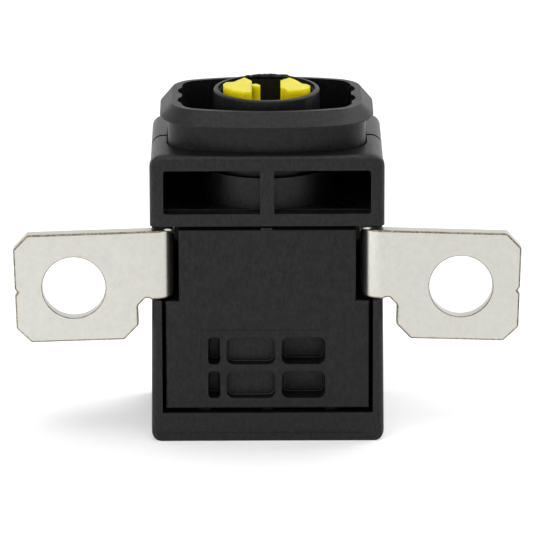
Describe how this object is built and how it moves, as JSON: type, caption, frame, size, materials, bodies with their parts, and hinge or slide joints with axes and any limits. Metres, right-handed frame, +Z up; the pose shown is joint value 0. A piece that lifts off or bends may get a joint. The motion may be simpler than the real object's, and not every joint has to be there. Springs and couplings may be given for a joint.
{
  "type": "pyrotechnic fuse",
  "caption": "Pyrotechnic battery disconnect: a piston in a black moulded core cuts a busbar between two side tabs; igniter socket on top.",
  "frame": {"origin": "middle of the cage's foot, on the surface it stands on", "axes": "+X along the line of the two terminals, towards the right-hand tab seen from the front; +Y from the front window side to the rear; +Z up, out of the igniter socket"},
  "size_m": [0.0722, 0.0238, 0.0499],
  "materials": {
    "cage_plastic": "fine moulded texture, glass-filled black",
    "body_plastic": "moulded, glass-filled black",
    "tinned_copper": "matt tin plate on copper",
    "piston_plastic": "moulded, natural",
    "seal_rubber": "smooth moulded rubber",
    "holder_plastic": "moulded",
    "header_steel": "drawn stainless",
    "seal_glass": "fused glass",
    "pin_gold": "gold flash on nickel",
    "charge": "pressed powder",
    "insert_plastic": "moulded yellow",
    "spring_steel": "rolled strip",
    "screw_steel": "zinc plated"
  },
  "bodies": {
    "housing": {"front_cage": "cage_plastic", "rear_cage": "cage_plastic", "upper_body": "body_plastic", "lower_body": "body_plastic", "left_terminal": "tinned_copper", "right_terminal": "tinned_copper", "igniter_holder": "holder_plastic", "igniter_seal": "seal_rubber", "igniter_header": "header_steel", "glass_seal": "seal_glass", "signal_pin": "pin_gold", "ground_pin": "pin_gold", "igniter_cup": "header_steel", "propellant_charge": "charge", "connector_retainer": "insert_plastic", "shorting_spring": "spring_steel", "body_screws": "screw_steel"},
    "cutter": {"piston": "piston_plastic", "piston_seal": "seal_rubber", "shear_bridge": "tinned_copper"}
  },
  "joints": [
    {"name": "piston_slide", "type": "slide", "parent": "housing", "child": "cutter", "axis": [0, 0, -1], "range_m": [0, 0.007]}
  ]
}
